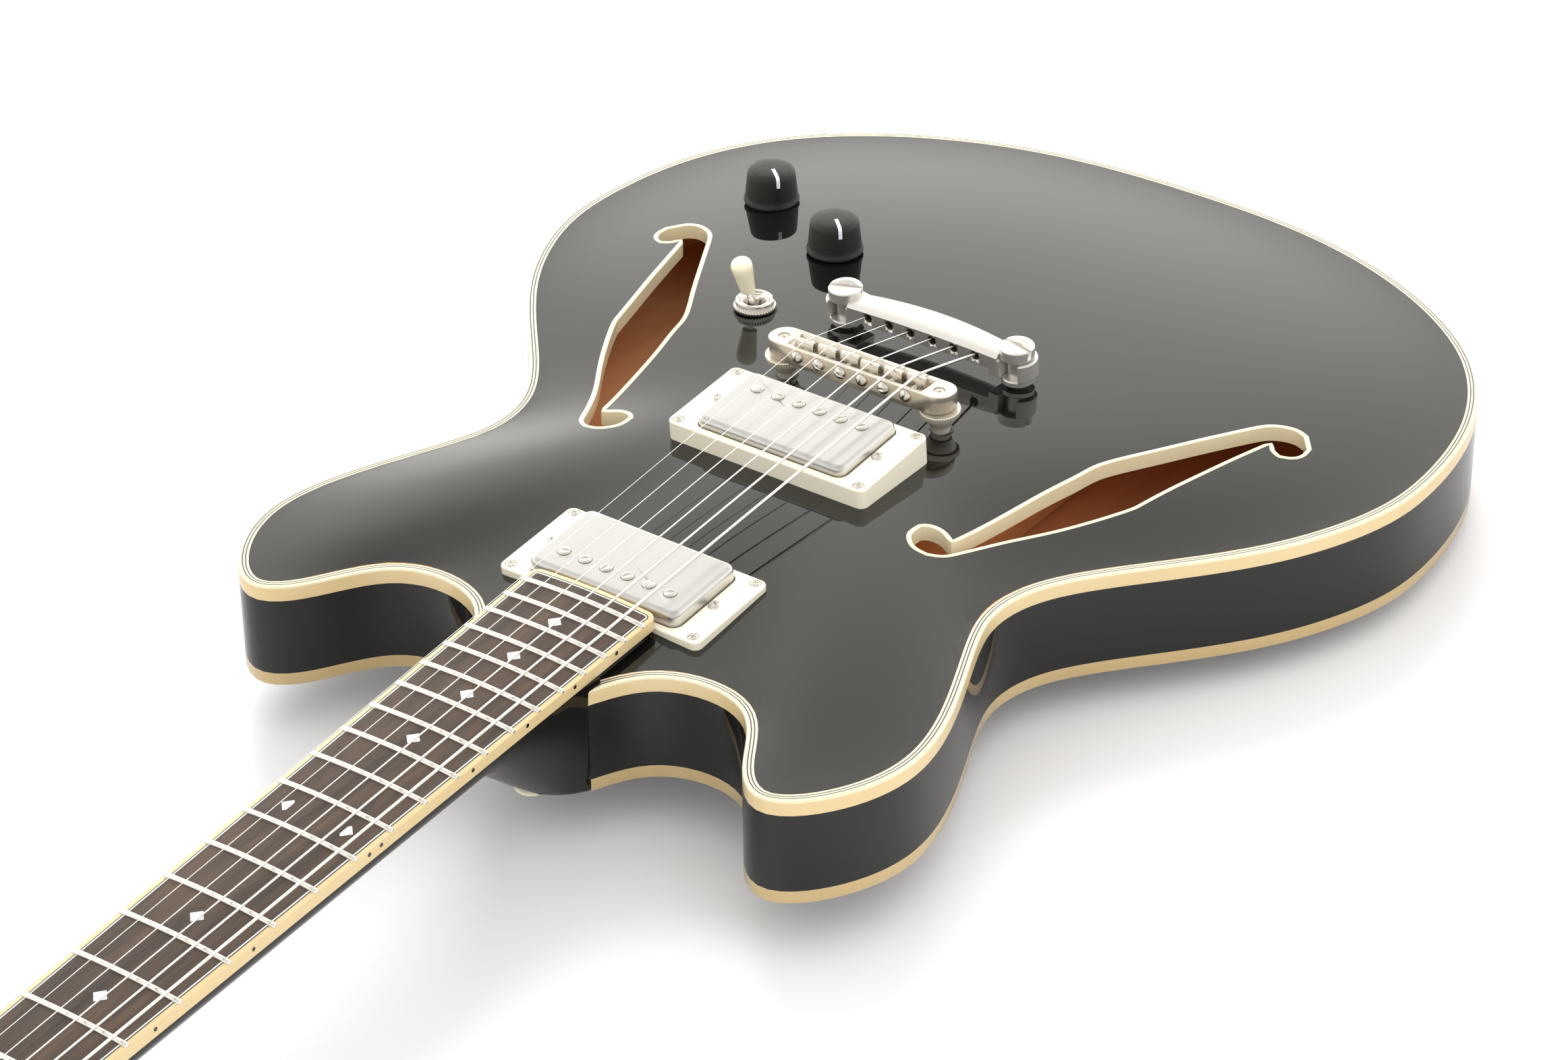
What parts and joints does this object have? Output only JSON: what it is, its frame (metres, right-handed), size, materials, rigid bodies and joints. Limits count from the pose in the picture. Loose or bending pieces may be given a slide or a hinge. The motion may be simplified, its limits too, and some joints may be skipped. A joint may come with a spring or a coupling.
{
  "type": "semi-hollow electric guitar",
  "caption": "Semi-hollow electric guitar with cutaways on both sides, arched bound body, f-shaped sound holes, covered pickups, adjustable bridge, stop tailpiece and geared tuners.",
  "frame": {"origin": "on the flat middle of the back, under the line where the strings leave the bridge", "axes": "+Z out of the top, square to the top's edge, +Y towards the tail, +X towards the bass side; the headstock is at -Y"},
  "size_m": [0.4088, 1.0554, 0.1304],
  "materials": {
    "body_lacquer": "laminated maple under black lacquer polished to a mirror gloss",
    "neck_lacquer": "mahogany under black gloss lacquer",
    "block_wood": "bare sanded maple",
    "binding_cream": "cream celluloid-like plastic, polished, with fine black and white lines beside it",
    "board_rosewood": "oiled dark rosewood with open grain, nickel-silver frets and pearl diamonds",
    "cream_plastic": "smooth cream plastic",
    "toggle_plastic": "polished cream plastic",
    "steel_parts": "plated steel, knurled nut",
    "black_plastic": "black moulded plastic, smooth",
    "knob_black": "satin black plastic with a plain white pointer line",
    "string_metal": "plain steel trebles and nickel-wound basses",
    "tuner_nickel": "polished nickel plating",
    "bridge_nickel": "nickel plating, lightly brushed on the bridge and bright on the tailpiece",
    "cover_nickel": "satin nickel covers with rounded edges"
  },
  "bodies": {
    "body": {"top_plate": "body_lacquer", "back_plate": "body_lacquer", "rim": "body_lacquer", "center_block": "block_wood", "top_binding": "binding_cream", "back_binding": "binding_cream", "f_hole_binding_bass": "binding_cream", "f_hole_binding_treble": "binding_cream", "neck": "neck_lacquer", "fretboard": "board_rosewood", "neck_binding": "binding_cream", "nut": "cream_plastic", "truss_rod": "steel_parts", "truss_rod_cover": "black_plastic", "strap_button_heel": "cream_plastic", "strap_button_tail": "cream_plastic", "tuner_plate_bass": "tuner_nickel", "tuner_plate_treble": "tuner_nickel", "string_1": "string_metal", "string_2": "string_metal", "string_3": "string_metal", "string_4": "string_metal", "string_5": "string_metal", "string_6": "string_metal", "tailpiece": "bridge_nickel", "tailpiece_stud_bass": "bridge_nickel", "tailpiece_stud_treble": "bridge_nickel", "neck_pickup_ring": "cream_plastic", "bridge_pickup_ring": "cream_plastic", "pot_volume": "steel_parts", "pot_tone": "steel_parts", "toggle_housing": "steel_parts", "output_jack": "steel_parts"},
    "knob_volume": {"knob_volume": "knob_black"},
    "knob_tone": {"knob_tone": "knob_black"},
    "toggle": {"toggle_lever": "steel_parts", "toggle_tip": "toggle_plastic"},
    "key_1": {"tuner_key_1": "tuner_nickel"},
    "post_1": {"tuner_post_1": "tuner_nickel"},
    "key_2": {"tuner_key_2": "tuner_nickel"},
    "post_2": {"tuner_post_2": "tuner_nickel"},
    "key_3": {"tuner_key_3": "tuner_nickel"},
    "post_3": {"tuner_post_3": "tuner_nickel"},
    "key_4": {"tuner_key_4": "tuner_nickel"},
    "post_4": {"tuner_post_4": "tuner_nickel"},
    "key_5": {"tuner_key_5": "tuner_nickel"},
    "post_5": {"tuner_post_5": "tuner_nickel"},
    "key_6": {"tuner_key_6": "tuner_nickel"},
    "post_6": {"tuner_post_6": "tuner_nickel"},
    "bridge": {"bridge_body": "bridge_nickel"},
    "bridge_post_bass": {"bridge_post_bass": "bridge_nickel"},
    "bridge_post_treble": {"bridge_post_treble": "bridge_nickel"},
    "saddle_1": {"saddle_1": "bridge_nickel"},
    "saddle_2": {"saddle_2": "bridge_nickel"},
    "saddle_3": {"saddle_3": "bridge_nickel"},
    "saddle_4": {"saddle_4": "bridge_nickel"},
    "saddle_5": {"saddle_5": "bridge_nickel"},
    "saddle_6": {"saddle_6": "bridge_nickel"},
    "neck_pickup": {"neck_pickup": "cover_nickel"},
    "bridge_pickup": {"bridge_pickup": "cover_nickel"}
  },
  "joints": [
    {"name": "volume_turn", "type": "hinge", "parent": "body", "child": "knob_volume", "pos_m": [-0.0817, 0.0964, 0.07], "axis": [0, 0, 1], "range_deg": [0, 285]},
    {"name": "tone_turn", "type": "hinge", "parent": "body", "child": "knob_tone", "pos_m": [-0.1334, 0.1224, 0.07], "axis": [0, 0, 1], "range_deg": [0, 285]},
    {"name": "toggle_tilt", "type": "hinge", "parent": "body", "child": "toggle", "pos_m": [-0.0797, 0.0378, 0.0574], "axis": [-0.9008, 0.4342, 0], "range_deg": [0, 28.9]},
    {"name": "key_1_turn", "type": "hinge", "parent": "body", "child": "key_1", "pos_m": [-0.0245, -0.66091, -0.00495], "axis": [-1, 0, 0], "continuous": true},
    {"name": "post_1_turn", "type": "hinge", "parent": "body", "child": "post_1", "pos_m": [-0.0245, -0.67311, 0.01049], "axis": [0, -0.316, 0.9488], "continuous": true},
    {"name": "key_2_turn", "type": "hinge", "parent": "body", "child": "key_2", "pos_m": [-0.0265, -0.69886, -0.01759], "axis": [-1, 0, 0], "continuous": true},
    {"name": "post_2_turn", "type": "hinge", "parent": "body", "child": "post_2", "pos_m": [-0.0265, -0.71106, -0.00215], "axis": [0, -0.316, 0.9488], "continuous": true},
    {"name": "key_3_turn", "type": "hinge", "parent": "body", "child": "key_3", "pos_m": [-0.0285, -0.73681, -0.03023], "axis": [-1, 0, 0], "continuous": true},
    {"name": "post_3_turn", "type": "hinge", "parent": "body", "child": "post_3", "pos_m": [-0.0285, -0.74901, -0.01479], "axis": [0, -0.316, 0.9488], "continuous": true},
    {"name": "key_4_turn", "type": "hinge", "parent": "body", "child": "key_4", "pos_m": [0.0285, -0.73681, -0.03023], "axis": [1, 0, 0], "continuous": true},
    {"name": "post_4_turn", "type": "hinge", "parent": "body", "child": "post_4", "pos_m": [0.0285, -0.74901, -0.01479], "axis": [0, -0.316, 0.9488], "continuous": true},
    {"name": "key_5_turn", "type": "hinge", "parent": "body", "child": "key_5", "pos_m": [0.0265, -0.69886, -0.01759], "axis": [1, 0, 0], "continuous": true},
    {"name": "post_5_turn", "type": "hinge", "parent": "body", "child": "post_5", "pos_m": [0.0265, -0.71106, -0.00215], "axis": [0, -0.316, 0.9488], "continuous": true},
    {"name": "key_6_turn", "type": "hinge", "parent": "body", "child": "key_6", "pos_m": [0.0245, -0.66091, -0.00495], "axis": [1, 0, 0], "continuous": true},
    {"name": "post_6_turn", "type": "hinge", "parent": "body", "child": "post_6", "pos_m": [0.0245, -0.67311, 0.01049], "axis": [0, -0.316, 0.9488], "continuous": true},
    {"name": "bridge_height", "type": "slide", "parent": "body", "child": "bridge", "axis": [0, -0.0764, 0.9971], "range_m": [-0.002, 0]},
    {"name": "bridge_post_bass_turn", "type": "hinge", "parent": "bridge", "child": "bridge_post_bass", "pos_m": [0.037, 0.00053, 0.07142], "axis": [0, -0.0764, 0.9971], "range_deg": [-725, 5]},
    {"name": "bridge_post_treble_turn", "type": "hinge", "parent": "bridge", "child": "bridge_post_treble", "pos_m": [-0.037, 0.00053, 0.07142], "axis": [0, -0.0764, 0.9971], "range_deg": [-725, 5]},
    {"name": "saddle_1_slide", "type": "slide", "parent": "bridge", "child": "saddle_1", "axis": [0, 0.9971, 0.0764], "range_m": [-0.002, 0]},
    {"name": "saddle_2_slide", "type": "slide", "parent": "bridge", "child": "saddle_2", "axis": [0, 0.9971, 0.0764], "range_m": [-0.002, 0]},
    {"name": "saddle_3_slide", "type": "slide", "parent": "bridge", "child": "saddle_3", "axis": [0, 0.9971, 0.0764], "range_m": [-0.002, 0]},
    {"name": "saddle_4_slide", "type": "slide", "parent": "bridge", "child": "saddle_4", "axis": [0, 0.9971, 0.0764], "range_m": [-0.002, 0]},
    {"name": "saddle_5_slide", "type": "slide", "parent": "bridge", "child": "saddle_5", "axis": [0, 0.9971, 0.0764], "range_m": [-0.002, 0]},
    {"name": "saddle_6_slide", "type": "slide", "parent": "bridge", "child": "saddle_6", "axis": [0, 0.9971, 0.0764], "range_m": [-0.002, 0]},
    {"name": "neck_pickup_height", "type": "slide", "parent": "body", "child": "neck_pickup", "axis": [0, -0.0764, 0.9971], "range_m": [-0.003, 0.0005]},
    {"name": "bridge_pickup_height", "type": "slide", "parent": "body", "child": "bridge_pickup", "axis": [0, -0.0764, 0.9971], "range_m": [-0.003, 0.0005]}
  ],
  "couplings": [
    {"joint": "post_1_turn", "follows": "key_1_turn", "ratio": -0.071429},
    {"joint": "post_2_turn", "follows": "key_2_turn", "ratio": -0.071429},
    {"joint": "post_3_turn", "follows": "key_3_turn", "ratio": -0.071429},
    {"joint": "post_4_turn", "follows": "key_4_turn", "ratio": 0.071429},
    {"joint": "post_5_turn", "follows": "key_5_turn", "ratio": 0.071429},
    {"joint": "post_6_turn", "follows": "key_6_turn", "ratio": 0.071429},
    {"joint": "bridge_post_bass_turn", "follows": "bridge_height", "rad_per_m": 6283.2},
    {"joint": "bridge_post_treble_turn", "follows": "bridge_height", "rad_per_m": 6283.2}
  ]
}
